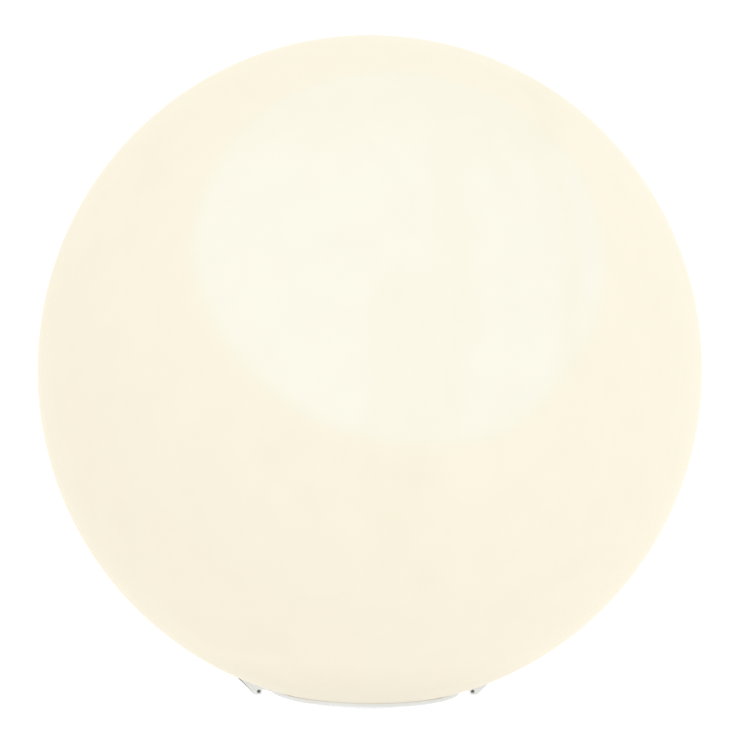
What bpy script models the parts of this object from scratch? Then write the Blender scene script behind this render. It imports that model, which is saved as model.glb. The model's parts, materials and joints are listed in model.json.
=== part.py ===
"""Floating globe light for a pool: a milky globe that screws onto a sealed, rechargeable base unit.

Units are metres, +Z is up and the front faces -Y. The origin is on the floor, under the middle of the
globe, in the plane that the flat foot of the base unit stands on.
"""

import math

import bmesh
import bpy
from mathutils import Matrix, Vector

MM = 0.001
GAP = 0.3 * MM  # kept between neighbouring pieces

# Globe: close to round, a touch taller than it is wide
GLOBE_RADIUS = 149.5 * MM
GLOBE_HALF_HEIGHT = 150.7 * MM
GLOBE_CENTRE_Z = 151.0 * MM
GLOBE_WALL = 3.0 * MM
GLOBE_MOUTH_RADIUS = 41.0 * MM
GLOBE_SIDES = 48
GLOBE_RINGS = 17  # from the mouth to the top

# Three-start thread between the neck ring and the housing
THREAD_LEAD = 18.0 * MM
THREAD_STARTS = 3
THREAD_WIDTH = 1.8 * MM
MALE_CREST = 36.6 * MM
FEMALE_CREST = 35.8 * MM
MALE_BOTTOM_Z = 12.0 * MM
MALE_SWEEP = math.radians(100)
FEMALE_SWEEP = math.radians(55)

# Neck ring, welded into the mouth of the globe
NECK_BORE = 37.4 * MM
NECK_RADIUS = 40.6 * MM
NECK_BOTTOM_Z = 7.4 * MM
NECK_TOP_Z = 24.0 * MM
NECK_FLANGE_RADIUS = 47.0 * MM
NECK_FLANGE_TOP_Z = 14.2 * MM

# Base cover: the shallow dish under the globe
COVER_RADIUS = 43.0 * MM
COVER_RIM_Z = 5.1 * MM
COVER_TOP_Z = 5.6 * MM
FOOT_RADIUS = 21.5 * MM
WELL_RADIUS = 17.5 * MM
WELL_Z = 3.6 * MM
LUG_WIDTH = 10.0 * MM
LUG_TIP_Z = 3.6 * MM
LUG_TIP_RADIUS = 47.4 * MM
LUG_ROOT_RADIUS = 59.4 * MM
TETHER_HOLE_RADIUS = 0.8 * MM
TETHER_HOLE_AT = (48.7 * MM, 5.2 * MM)

# Base housing: the cup that goes up into the globe
CUP_RADIUS = 35.0 * MM
CUP_BORE = 32.8 * MM
CUP_BOTTOM_Z = 7.2 * MM
CUP_TOP_Z = 48.6 * MM
LEDGE_RADIUS = 31.0 * MM
BOARD_LEDGE_Z = 38.7 * MM
SPREADER_LEDGE_Z = 45.7 * MM
LEDGE_DROP = 1.2 * MM
SCREW_CIRCLE = 30.0 * MM
BOSS_RADIUS = 3.3 * MM
BOSS_TOP_Z = 20.0 * MM

# Button and charging socket in the well
BUTTON_X = -10.5 * MM
BUTTON_RADIUS = 6.0 * MM
BUTTON_FACE_Z = 1.3 * MM
JACK_X = 10.0 * MM
JACK_HOLE_RADIUS = 3.4 * MM
ANCHOR_X = -1.2 * MM
HINGE_X = 1.6 * MM  # the living hinge of the charging plug
HINGE_Z = 2.6 * MM
SWITCH_BOARD_Z = 12.9 * MM

# Battery
CELL_RADIUS = 9.1 * MM
CELL_LENGTH = 49.8 * MM
CELL_SPACING = 19.2 * MM
CELL_Z = 26.9 * MM

# Light
BOARD_THICKNESS = 1.6 * MM
SPREADER_THICKNESS = 2.0 * MM
LED_COUNT = 8
LED_CIRCLE = 16.5 * MM
LED_SIZE = 5.0 * MM
DOME_RADIUS = 30.0 * MM
DOME_WALL = 2.0 * MM
DOME_HEIGHT = 20.0 * MM


def material(name, colour, roughness, metallic=0.0):
    """A Principled material of one colour."""
    made = bpy.data.materials.new(name)
    made.use_nodes = True
    shader = made.node_tree.nodes["Principled BSDF"]
    shader.inputs["Base Color"].default_value = (*colour, 1.0)
    shader.inputs["Roughness"].default_value = roughness
    shader.inputs["Metallic"].default_value = metallic
    return made


def add_object(name, mesh, paint, at=(0, 0, 0)):
    """Puts a mesh into the scene as a named object."""
    made = bpy.data.objects.new(name, mesh)
    made.location = at
    bpy.context.collection.objects.link(made)
    if paint is not None:
        mesh.materials.append(paint)
    return made


def finished_mesh(name, shape, smooth=True):
    """Turns a bmesh into a mesh with its faces pointing out."""
    bmesh.ops.recalc_face_normals(shape, faces=shape.faces)
    mesh = bpy.data.meshes.new(name)
    shape.to_mesh(mesh)
    shape.free()
    if smooth:
        mesh.shade_smooth()
        mesh.set_sharp_from_angle(angle=math.radians(35))
    return mesh


def turned(name, profile, paint, sides, at=(0, 0, 0)):
    """A solid of revolution about Z. The profile is a closed outline of (radius, height) points."""
    shape = bmesh.new()
    rings = []
    for radius, height in profile:
        if radius == 0:
            rings.append([shape.verts.new((0, 0, height))])
            continue
        ring = []
        for side in range(sides):
            turn = math.tau * side / sides
            ring.append(shape.verts.new((radius * math.cos(turn), radius * math.sin(turn), height)))
        rings.append(ring)
    for first, second in zip(rings, rings[1:] + rings[:1]):
        if len(first) == 1 and len(second) == 1:
            continue
        for side in range(sides):
            after = (side + 1) % sides
            corners = [first[side % len(first)], first[after % len(first)]]
            corners += [second[after % len(second)], second[side % len(second)]]
            shape.faces.new(list(dict.fromkeys(corners)))
    return add_object(name, finished_mesh(name, shape), paint, at)


def disc(name, radius, low, high, paint, sides=20, at=(0, 0), hole=0.0):
    """A plain disc or, with a hole, a flat ring."""
    profile = [(hole, low), (radius, low), (radius, high), (hole, high)]
    return turned(name, profile, paint, sides, (at[0], at[1], 0))


def block(name, size, centre, paint, bevel=0.0):
    """A box with optionally bevelled edges."""
    shape = bmesh.new()
    bmesh.ops.create_cube(shape, size=1.0, matrix=Matrix.Diagonal((*size, 1.0)))
    if bevel:
        bmesh.ops.bevel(
            shape, geom=shape.edges, offset=bevel, offset_type="OFFSET", segments=1, affect="EDGES"
        )
    return add_object(name, finished_mesh(name, shape, smooth=False), paint, centre)


def cutter(made):
    """Marks an object as a cutting or joining tool, which is no piece of its own."""
    made.hide_render = True
    made.display_type = "WIRE"
    return made


def combine(target, tool, operation="DIFFERENCE"):
    """Cuts a tool out of a target, or joins it to the target. This solver keeps every thread ridge closed."""
    change = target.modifiers.new(tool.name, "BOOLEAN")
    change.operation = operation
    change.solver = "MANIFOLD"
    change.object = cutter(tool)


def globe_height(radius, inset=0.0):
    """Height of the globe's lower surface at this distance from the axis."""
    share = radius / (GLOBE_RADIUS - inset)
    return GLOBE_CENTRE_Z - (GLOBE_HALF_HEIGHT - inset) * math.sqrt(1 - share * share)


def globe_arc(inset):
    """Points up the globe's wall, from the mouth to the top."""
    across, up = GLOBE_RADIUS - inset, GLOBE_HALF_HEIGHT - inset
    start = -math.acos(GLOBE_MOUTH_RADIUS / across)
    below = GLOBE_RINGS // 2
    above = GLOBE_RINGS - below
    steps = [start * (1 - step / below) for step in range(below)]
    steps += [math.pi / 2 * step / above for step in range(above)]
    points = [(across * math.cos(turn), GLOBE_CENTRE_Z + up * math.sin(turn)) for turn in steps]
    return points + [(0, GLOBE_CENTRE_Z + up)]


def thread(name, crest, root, bottom_z, sweep, steps):
    """One cutter with the ridges of every thread start, rising with +turn about Z."""
    shape = bmesh.new()
    half_root, half_crest = THREAD_WIDTH / 2, THREAD_WIDTH / 4
    section = [(root, -half_root), (crest, -half_crest), (crest, half_crest), (root, half_root)]
    for start in range(THREAD_STARTS):
        loops = []
        for step in range(steps + 1):
            turn = sweep * step / steps
            rise = bottom_z + THREAD_LEAD * turn / math.tau
            angle = turn + math.tau * start / THREAD_STARTS
            loop = [
                shape.verts.new((radius * math.cos(angle), radius * math.sin(angle), rise + offset))
                for radius, offset in section
            ]
            loops.append(loop)
        for first, second in zip(loops, loops[1:]):
            for corner in range(4):
                after = (corner + 1) % 4
                shape.faces.new((first[corner], first[after], second[after], second[corner]))
        shape.faces.new(loops[0])
        shape.faces.new(reversed(loops[-1]))
    return add_object(name, finished_mesh(name, shape), None)


def make_globe(milky, ring_plastic):
    """The globe and the threaded ring in its mouth."""
    outline = globe_arc(0.0) + globe_arc(GLOBE_WALL)[::-1]
    turned("globe_shell", outline, milky, GLOBE_SIDES)
    inner_gap = 2 * GAP
    flange_low = globe_height(NECK_RADIUS, GLOBE_WALL) + inner_gap
    flange_edge = globe_height(NECK_FLANGE_RADIUS, GLOBE_WALL) + inner_gap
    ring = turned(
        "neck_ring",
        [
            (NECK_BORE, NECK_BOTTOM_Z),
            (NECK_RADIUS, NECK_BOTTOM_Z),
            (NECK_RADIUS, flange_low),
            (NECK_FLANGE_RADIUS, flange_edge),
            (NECK_FLANGE_RADIUS, NECK_FLANGE_TOP_Z),
            (NECK_RADIUS, NECK_FLANGE_TOP_Z),
            (NECK_RADIUS - MM, NECK_TOP_Z),
            (NECK_BORE, NECK_TOP_Z),
        ],
        ring_plastic,
        GLOBE_SIDES,
    )
    # A female ridge sits half a pitch above the male ridge whose middle it faces.
    half_pitch = THREAD_LEAD / THREAD_STARTS / 2
    ridges = thread(
        "female_ridges", FEMALE_CREST, NECK_BORE + MM, MALE_BOTTOM_Z + half_pitch, FEMALE_SWEEP, 6
    )
    combine(ring, ridges, "UNION")


def lug(name, side):
    """Tool for one of the two radial lugs, which hug the globe and end in a downward tip."""
    hug = [radius * MM for radius in (56, 52, 47.5, 43.5, 40, 36)]
    outline = [
        (34 * MM, 3.2 * MM),
        (40 * MM, 4.3 * MM),
        (43 * MM, 5.0 * MM),
        (45.5 * MM, 5.8 * MM),
        (LUG_TIP_RADIUS - 0.2 * MM, 6.0 * MM),
        (LUG_TIP_RADIUS, LUG_TIP_Z + 0.8 * MM),
        (LUG_TIP_RADIUS + 0.5 * MM, LUG_TIP_Z),
        (LUG_TIP_RADIUS + 3.1 * MM, LUG_TIP_Z),
        (LUG_TIP_RADIUS + 3.9 * MM, LUG_TIP_Z + 0.5 * MM),
        (LUG_ROOT_RADIUS, globe_height(LUG_ROOT_RADIUS) - 2 * GAP),
        (LUG_ROOT_RADIUS - MM, globe_height(LUG_ROOT_RADIUS - MM) - GAP),
    ]
    outline += [(radius, globe_height(radius) - GAP) for radius in hug]
    shape = bmesh.new()
    near = [shape.verts.new((side * x, -LUG_WIDTH / 2, z)) for x, z in outline]
    face = shape.faces.new(near)
    pushed = bmesh.ops.extrude_face_region(shape, geom=[face])
    moved = [item for item in pushed["geom"] if isinstance(item, bmesh.types.BMVert)]
    bmesh.ops.translate(shape, verts=moved, vec=(0, LUG_WIDTH, 0))
    return add_object(name, finished_mesh(name, shape, smooth=False), None)


def cross_hole(name, side):
    """Tool for the tether hole through a lug, along Y."""
    made = disc(name, TETHER_HOLE_RADIUS, -LUG_WIDTH, LUG_WIDTH, None, sides=12)
    made.rotation_euler = (math.pi / 2, 0, 0)
    made.location = (side * TETHER_HOLE_AT[0], 0, TETHER_HOLE_AT[1])
    return made


def screw_places():
    """Centres of the four cover screws."""
    turns = [math.tau * quarter / 4 for quarter in range(4)]
    return [(SCREW_CIRCLE * math.cos(turn), SCREW_CIRCLE * math.sin(turn)) for turn in turns]


def make_cover(plastic, rubber, steel):
    """The dish with its two lugs, the well for button and socket, its seal and its screws."""
    rim_radius = COVER_RADIUS - 1.4 * MM
    cover = turned(
        "base_cover",
        [
            (0, WELL_Z),
            (WELL_RADIUS - 0.4 * MM, WELL_Z),
            (WELL_RADIUS, 0.5 * MM),
            (WELL_RADIUS + 0.5 * MM, 0),
            (FOOT_RADIUS, 0),
            (FOOT_RADIUS + 2.5 * MM, 0.8 * MM),
            (FOOT_RADIUS + 7.5 * MM, 1.7 * MM),
            (FOOT_RADIUS + 11.5 * MM, 2.4 * MM),
            (FOOT_RADIUS + 16.5 * MM, 3.3 * MM),
            (COVER_RADIUS - 0.5 * MM, COVER_RIM_Z - 0.5 * MM),
            (COVER_RADIUS, COVER_RIM_Z),
            (COVER_RADIUS, globe_height(COVER_RADIUS) - GAP),
            (rim_radius, globe_height(rim_radius) - GAP),
            (rim_radius - 0.5 * MM, COVER_TOP_Z),
            (0, COVER_TOP_Z),
        ],
        plastic,
        GLOBE_SIDES,
    )
    for side, word in ((-1, "left"), (1, "right")):
        combine(cover, lug(f"lug_{word}", side), "UNION")
        combine(cover, cross_hole(f"tether_hole_{word}", side))
    combine(cover, disc("button_hole", BUTTON_RADIUS + GAP, 0, 7 * MM, None, at=(BUTTON_X, 0)))
    combine(cover, disc("jack_hole", JACK_HOLE_RADIUS, 0, 7 * MM, None, at=(JACK_X, 0)))
    combine(cover, disc("anchor_hole", 1.2 * MM, 0, 7 * MM, None, sides=12, at=(ANCHOR_X, 0)))
    for side, word in ((-1, "front"), (1, "back")):
        at = (0, side * 7 * MM)
        post = disc(f"post_{word}", 2 * MM, 5 * MM, SWITCH_BOARD_Z - GAP, None, sides=12, at=at)
        combine(cover, post, "UNION")
    for number, place in enumerate(screw_places(), 1):
        hole = disc(f"screw_hole_{number}", 1.6 * MM, -MM, 7 * MM, None, sides=12, at=place)
        counterbore = disc(f"counterbore_{number}", 3.4 * MM, -MM, 3.4 * MM, None, at=place)
        combine(cover, hole)
        combine(cover, counterbore)
        turned(
            f"cover_screw_{number}",
            [
                (0, 2.6 * MM),
                (0.9 * MM, 2.6 * MM),
                (2.4 * MM, 2.2 * MM),
                (2.9 * MM, 2.5 * MM),
                (2.9 * MM, 3.1 * MM),
                (1.3 * MM, 3.1 * MM),
                (1.3 * MM, 14 * MM),
                (0.8 * MM, 15 * MM),
                (0, 15 * MM),
            ],
            steel,
            12,
            (*place, 0),
        )
    seal_low, seal_high = COVER_TOP_Z + GAP, CUP_BOTTOM_Z - GAP
    disc("cover_seal", CUP_RADIUS - GAP, seal_low, seal_high, rubber, GLOBE_SIDES, hole=33.9 * MM)
    disc(
        "neck_gasket",
        NECK_RADIUS - GAP,
        COVER_TOP_Z + GAP,
        NECK_BOTTOM_Z - GAP,
        rubber,
        GLOBE_SIDES,
        hole=MALE_CREST + 2 * GAP,
    )


def make_housing(plastic):
    """The threaded cup, with ledges inside for the boards and bosses for the cover screws."""
    cup = turned(
        "base_housing",
        [
            (CUP_BORE, CUP_BOTTOM_Z),
            (CUP_RADIUS, CUP_BOTTOM_Z),
            (CUP_RADIUS, CUP_TOP_Z),
            (CUP_BORE, CUP_TOP_Z),
            (CUP_BORE, SPREADER_LEDGE_Z),
            (LEDGE_RADIUS, SPREADER_LEDGE_Z),
            (CUP_BORE, SPREADER_LEDGE_Z - LEDGE_DROP),
            (CUP_BORE, BOARD_LEDGE_Z),
            (LEDGE_RADIUS, BOARD_LEDGE_Z),
            (CUP_BORE, BOARD_LEDGE_Z - LEDGE_DROP),
        ],
        plastic,
        GLOBE_SIDES,
    )
    male = thread("male_ridges", MALE_CREST, CUP_RADIUS - MM, MALE_BOTTOM_Z, MALE_SWEEP, 10)
    combine(cup, male, "UNION")
    for number, place in enumerate(screw_places(), 1):
        boss = disc(f"boss_{number}", BOSS_RADIUS, CUP_BOTTOM_Z, BOSS_TOP_Z, None, 12, place)
        combine(cup, boss, "UNION")
        combine(cup, disc(f"boss_bore_{number}", 1.7 * MM, 6 * MM, 17 * MM, None, 12, place))


def make_ballast(steel):
    """The steel ring low in the cup, notched round the bosses."""
    low, high = COVER_TOP_Z + GAP, 12.6 * MM
    ring = disc("ballast_ring", CUP_BORE - 0.9 * MM, low, high, steel, 42, hole=19.6 * MM)
    for number, place in enumerate(screw_places(), 1):
        notch = disc(f"ballast_notch_{number}", BOSS_RADIUS + 0.6 * MM, 0, 20 * MM, None, 12, place)
        combine(ring, notch)


def make_button(grey, dark, board_green):
    """The push button, the switch above it and their board."""
    turned(
        "power_button",
        [
            (0, BUTTON_FACE_Z + 0.5 * MM),
            (BUTTON_RADIUS - 1.6 * MM, BUTTON_FACE_Z + 0.2 * MM),
            (BUTTON_RADIUS - 0.6 * MM, BUTTON_FACE_Z),
            (BUTTON_RADIUS, BUTTON_FACE_Z + 0.6 * MM),
            (BUTTON_RADIUS, COVER_TOP_Z + GAP),
            (BUTTON_RADIUS + 1.4 * MM, COVER_TOP_Z + GAP),
            (BUTTON_RADIUS + 1.4 * MM, COVER_TOP_Z + 1.2 * MM),
            (2 * MM, COVER_TOP_Z + 1.2 * MM),
            (2 * MM, 7.6 * MM),
            (0, 7.6 * MM),
        ],
        grey,
        24,
        (BUTTON_X, 0, 0),
    )
    disc("switch_plunger", 1.5 * MM, 7.9 * MM, 10.4 * MM, dark, 12, (BUTTON_X, 0))
    case_low, case_high = 9.2 * MM, SWITCH_BOARD_Z - GAP
    case_size = (6 * MM, 6 * MM, case_high - case_low)
    case = block("tact_switch", case_size, (BUTTON_X, 0, (case_low + case_high) / 2), dark)
    bore = disc("plunger_bore", 1.8 * MM, 8 * MM, 11.8 * MM, None, 12, (BUTTON_X, 0))
    combine(case, bore)
    middle = SWITCH_BOARD_Z + BOARD_THICKNESS / 2
    size = (31 * MM, 18 * MM, BOARD_THICKNESS)
    block("switch_board", size, (0, 0, middle), board_green)


def make_charging(metal, silicone):
    """The charging socket, and the silicone plug that hangs on its own strap."""
    top = SWITCH_BOARD_Z - GAP
    turned(
        "charge_jack",
        [
            (0, 7.6 * MM),
            (0.8 * MM, 7.6 * MM),
            (0.8 * MM, 11 * MM),
            (JACK_HOLE_RADIUS, 11 * MM),
            (JACK_HOLE_RADIUS, COVER_TOP_Z + GAP),
            (4.6 * MM, COVER_TOP_Z + GAP),
            (4.6 * MM, top),
            (0, top),
        ],
        metal,
        16,
        (JACK_X, 0, 0),
    )
    plug = turned(
        "charge_plug",
        [
            (0, 1.4 * MM),
            (4.8 * MM, 1.4 * MM),
            (5.6 * MM, 2.0 * MM),
            (5.6 * MM, 3.3 * MM),
            (2.5 * MM, 3.3 * MM),
            (2.3 * MM, 5.6 * MM),
            (0, 5.6 * MM),
        ],
        silicone,
        24,
        (JACK_X - HINGE_X, 0, -HINGE_Z),
    )
    pivot = bpy.data.objects.new("charge_plug_pivot", None)
    pivot.location = (HINGE_X, 0, HINGE_Z)
    bpy.context.collection.objects.link(pivot)
    plug.parent = pivot
    reach = JACK_X - 4 * MM - HINGE_X
    size = (reach, 4 * MM, 0.9 * MM)
    centre = (HINGE_X + reach / 2, 0, HINGE_Z)
    combine(plug, block("strap", size, centre, None), "UNION")
    turned(
        "plug_anchor",
        [
            (0, 1.8 * MM),
            (1.7 * MM, 1.8 * MM),
            (2.1 * MM, 2.2 * MM),
            (2.1 * MM, WELL_Z - GAP),
            (0.9 * MM, WELL_Z - GAP),
            (0.9 * MM, COVER_TOP_Z + GAP),
            (1.6 * MM, COVER_TOP_Z + GAP),
            (1.3 * MM, 7 * MM),
            (0, 7 * MM),
        ],
        silicone,
        12,
        (ANCHOR_X, 0, 0),
    )


def make_battery(wrap, nickel, plastic, tape):
    """Two cells side by side in a cradle, with their strips and a strap."""
    low = 15.6 * MM
    high = low + 4 * MM
    size = (51 * MM, 36 * MM, high - low)
    cradle = block("battery_holder", size, (0, 0, (low + high) / 2), plastic)
    for number, side in enumerate((-1, 1), 1):
        y = side * CELL_SPACING / 2
        half = CELL_LENGTH / 2
        cell = turned(
            f"battery_cell_{number}",
            [
                (0, -half),
                (CELL_RADIUS - 0.8 * MM, -half),
                (CELL_RADIUS, 0.8 * MM - half),
                (CELL_RADIUS, half - 2.0 * MM),
                (CELL_RADIUS - MM, half - MM),
                (3 * MM, half - MM),
                (3 * MM, half),
                (0, half),
            ],
            wrap,
            20,
            (0, y, CELL_Z),
        )
        cell.rotation_euler = (0, math.pi / 2, 0)
        trough = disc(f"trough_{number}", CELL_RADIUS + GAP, -30 * MM, 30 * MM, None, 20)
        trough.rotation_euler = (0, math.pi / 2, 0)
        trough.location = (0, y, CELL_Z)
        combine(cradle, trough)
    for side, word in ((-1, "left"), (1, "right")):
        x = side * (CELL_LENGTH / 2 + GAP + 0.2 * MM)
        strip_size = (0.4 * MM, CELL_SPACING + 6 * MM, 5 * MM)
        block(f"cell_strip_{word}", strip_size, (x, 0, CELL_Z), nickel)
    reach, top = CELL_SPACING / 2 + CELL_RADIUS, CELL_Z + CELL_RADIUS
    band = 0.7 * MM
    half_width = 5 * MM
    clear = reach + GAP
    outline = [(-clear, high + GAP), (-clear, top + GAP), (clear, top + GAP), (clear, high + GAP)]
    outer = [(clear + band, high + GAP), (clear + band, top + GAP + band)]
    outer += [(-clear - band, top + GAP + band), (-clear - band, high + GAP)]
    shape = bmesh.new()
    face = shape.faces.new([shape.verts.new((-half_width, y, z)) for y, z in outline + outer])
    pushed = bmesh.ops.extrude_face_region(shape, geom=[face])
    moved = [item for item in pushed["geom"] if isinstance(item, bmesh.types.BMVert)]
    bmesh.ops.translate(shape, verts=moved, vec=(2 * half_width, 0, 0))
    add_object("battery_strap", finished_mesh("battery_strap", shape, smooth=False), tape)


def wire(name, route, radius, paint):
    """An insulated lead on a smooth path through the route's points."""
    knots = [Vector(point) * MM for point in route]
    padded = [knots[0] * 2 - knots[1]] + knots + [knots[-1] * 2 - knots[-2]]
    points = []
    for before, start, end, after in zip(padded, padded[1:], padded[2:], padded[3:]):
        for step in range(5):
            t = step / 5
            points.append(
                0.5
                * (
                    2 * start
                    + (end - before) * t
                    + (2 * before - 5 * start + 4 * end - after) * t**2
                    + (3 * start - before - 3 * end + after) * t**3
                )
            )
    points.append(knots[-1])
    path = bpy.data.curves.new(name, "CURVE")
    path.dimensions = "3D"
    path.bevel_depth = radius
    path.bevel_resolution = 1
    path.use_fill_caps = True
    line = path.splines.new("POLY")
    line.points.add(len(points) - 1)
    for place, point in zip(line.points, points):
        place.co = (*point, 1.0)
    made = bpy.data.objects.new(name, path)
    bpy.context.collection.objects.link(made)
    path.materials.append(paint)


def make_control_board(board_green, dark, metal, white):
    """The control board with its main components."""
    low = BOARD_LEDGE_Z + GAP
    top = low + BOARD_THICKNESS
    board = disc("control_board", CUP_BORE - 0.5 * MM, low, top, board_green, 40)
    for side, word in ((-1, "left"), (1, "right")):
        notch = disc(f"lead_notch_{word}", 2.4 * MM, low - MM, top + MM, None, 12, (side * 30.5 * MM, 0))
        combine(board, notch)
    notch = disc("cable_notch", 2.4 * MM, low - MM, top + MM, None, 12, (0, -29.5 * MM))
    combine(board, notch)
    rest = top + GAP
    chip_height, socket_height = 1.5 * MM, 3.4 * MM
    chip = (7 * MM, 7 * MM, chip_height)
    block("controller_chip", chip, (-2 * MM, -12 * MM, rest + chip_height / 2), dark, 0.2 * MM)
    disc("power_inductor", 4 * MM, rest, rest + 3.4 * MM, dark, 16, (14 * MM, -10 * MM))
    disc("filter_capacitor_1", 2.5 * MM, rest, rest + 4.2 * MM, metal, 14, (-14 * MM, -10 * MM))
    disc("filter_capacitor_2", 2.5 * MM, rest, rest + 4.2 * MM, metal, 14, (-14 * MM, 10 * MM))
    size = (8 * MM, 4 * MM, socket_height)
    block("board_connector", size, (12 * MM, 12 * MM, rest + socket_height / 2), white)


def make_lamp(metal, board_white, lens, led_face, steel, rubber):
    """The heat spreader, the light board with its emitters, and the dome over them."""
    low = SPREADER_LEDGE_Z + GAP
    top = low + SPREADER_THICKNESS
    spreader = disc("heat_spreader", CUP_BORE - 0.6 * MM, low, top, metal, 40, hole=3 * MM)
    board_low = top + GAP
    board_top = board_low + BOARD_THICKNESS
    board = disc("led_board", 24 * MM, board_low, board_top, board_white, 32, hole=3 * MM)
    for number in range(1, 4):
        turn = math.tau * (number - 0.5) / 3
        place = (8.5 * MM * math.cos(turn), 8.5 * MM * math.sin(turn))
        for plate, word in ((spreader, "spreader"), (board, "board")):
            tool = disc(f"{word}_hole_{number}", 1.4 * MM, low - MM, board_top + MM, None, 10, place)
            combine(plate, tool)
        turned(
            f"led_screw_{number}",
            [
                (0, low),
                (1.1 * MM, low),
                (1.1 * MM, board_top + GAP),
                (2.2 * MM, board_top + GAP),
                (2.0 * MM, board_top + 1.4 * MM),
                (0, board_top + 1.6 * MM),
            ],
            steel,
            10,
            (*place, 0),
        )
    height = 1.6 * MM
    for number in range(1, LED_COUNT + 1):
        turn = math.tau * (number - 1) / LED_COUNT
        place = (
            LED_CIRCLE * math.cos(turn),
            LED_CIRCLE * math.sin(turn),
            board_top + GAP + height / 2,
        )
        emitter = block(f"led_{number}", (LED_SIZE, LED_SIZE, height), place, led_face, 0.3 * MM)
        emitter.rotation_euler = (0, 0, turn)
    seal_low = CUP_TOP_Z + GAP
    seal_high = seal_low + 0.9 * MM
    disc("dome_seal", CUP_RADIUS - GAP, seal_low, seal_high, rubber, 40, hole=32.6 * MM)
    foot = seal_high + GAP
    flange = foot + 1.8 * MM
    steps = 7
    outer, inner = [], []
    for step in range(steps):
        turn = math.pi / 2 * step / steps
        outer.append((DOME_RADIUS * math.cos(turn), flange + DOME_HEIGHT * math.sin(turn)))
        inside = DOME_RADIUS - DOME_WALL
        inner.append((inside * math.cos(turn), flange + (DOME_HEIGHT - DOME_WALL) * math.sin(turn)))
    outer.append((0, flange + DOME_HEIGHT))
    inner.append((0, flange + DOME_HEIGHT - DOME_WALL))
    edge = CUP_RADIUS - GAP
    outline = [(DOME_RADIUS - DOME_WALL, foot), (edge, foot), (edge, flange)] + outer + inner[::-1]
    turned("lens_dome", outline, lens, 40)


def make_wires(red, black, grey):
    """The leads inside the unit, each a little clear of what it is soldered to."""
    pad = 41.2
    for side, word, paint in ((1, "red", red), (-1, "black", black)):
        strip = side * (CELL_LENGTH / 2 / MM + 1.7)
        route = [(strip, 0, 27), (side * 28.6, 0, 31), (side * 29.8, 0, 36), (side * 30.0, 0, 41)]
        route += [(side * 27.5, 0, 43), (side * 24, 0, pad + 0.9)]
        wire(f"battery_lead_{word}", route, 0.8 * MM, paint)
        route = [(side * 5, 3, pad + 0.9), (side * 2.6, 1.5, 42.6), (side * 1.3, 0, 45), (side * 1.3, 0, 49)]
        route += [(side * 2.6, 0, 51.4), (side * 6, 0, 51.3)]
        wire(f"led_lead_{word}", route, 0.7 * MM, paint)
    route = [(0, -9.6, 13.8), (0, -14, 13.9), (0, -19.4, 13.9), (0, -22.8, 17.6), (0, -23, 27)]
    route += [(0, -25, 34), (0, -29.4, 38), (0, -29.4, 41.5), (0, -25, 42.6), (0, -21, 42.2)]
    wire("switch_cable", route, 0.9 * MM, grey)


def main():
    for made in list(bpy.data.objects):
        bpy.data.objects.remove(made)
    milky = material("milky_polyethylene", (0.93, 0.9, 0.82), 0.45)
    white = material("white_abs", (0.82, 0.83, 0.83), 0.4)
    grey = material("grey_silicone", (0.55, 0.57, 0.6), 0.6)
    rubber = material("clear_silicone", (0.75, 0.76, 0.75), 0.55)
    dark = material("black_plastic", (0.03, 0.03, 0.03), 0.5)
    steel = material("stainless_steel", (0.62, 0.62, 0.6), 0.3, 1.0)
    metal = material("aluminium", (0.75, 0.76, 0.77), 0.35, 1.0)
    nickel = material("nickel", (0.6, 0.58, 0.52), 0.3, 1.0)
    board_green = material("green_board", (0.02, 0.19, 0.08), 0.4)
    board_white = material("white_board", (0.85, 0.85, 0.84), 0.35)
    wrap = material("blue_cell_wrap", (0.05, 0.16, 0.5), 0.3)
    tape = material("black_tape", (0.02, 0.02, 0.02), 0.6)
    led_face = material("led_phosphor", (0.95, 0.82, 0.3), 0.35)
    lens = material("frosted_polycarbonate", (0.92, 0.93, 0.92), 0.3)
    red = material("red_insulation", (0.6, 0.03, 0.02), 0.45)
    black = material("black_insulation", (0.02, 0.02, 0.02), 0.45)
    make_globe(milky, white)
    make_cover(white, rubber, steel)
    make_housing(white)
    make_ballast(steel)
    make_button(grey, dark, board_green)
    make_charging(metal, grey)
    make_battery(wrap, nickel, dark, tape)
    make_control_board(board_green, dark, metal, board_white)
    make_lamp(metal, board_white, lens, led_face, steel, rubber)
    make_wires(red, black, grey)


main()
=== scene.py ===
"""Looks of the floating globe light: the lit globe, its base unit and the works inside, on a pale floor."""

import json
import math

import bmesh
import bpy
from mathutils import Matrix, Vector


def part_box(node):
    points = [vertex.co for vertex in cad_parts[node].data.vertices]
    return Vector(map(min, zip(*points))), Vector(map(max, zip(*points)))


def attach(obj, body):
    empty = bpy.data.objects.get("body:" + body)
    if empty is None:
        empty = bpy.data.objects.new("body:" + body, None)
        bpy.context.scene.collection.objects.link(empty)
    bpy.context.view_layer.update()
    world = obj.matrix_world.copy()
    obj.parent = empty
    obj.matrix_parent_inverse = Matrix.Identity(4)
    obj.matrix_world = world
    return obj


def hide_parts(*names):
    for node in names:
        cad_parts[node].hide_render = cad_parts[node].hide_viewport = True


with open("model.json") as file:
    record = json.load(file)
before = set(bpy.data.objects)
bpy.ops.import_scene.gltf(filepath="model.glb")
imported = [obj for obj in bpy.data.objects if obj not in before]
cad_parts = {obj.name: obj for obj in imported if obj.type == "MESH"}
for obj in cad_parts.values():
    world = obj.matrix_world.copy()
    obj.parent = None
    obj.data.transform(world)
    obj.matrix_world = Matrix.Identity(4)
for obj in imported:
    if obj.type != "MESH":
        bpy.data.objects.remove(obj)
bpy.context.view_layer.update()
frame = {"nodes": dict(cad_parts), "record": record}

MM = 0.001
GAP = 0.3 * MM
WELD = 0.002 * MM  # points closer than this are one point
SEAM = 0.1 * MM  # between the globe and the dish under it

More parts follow.
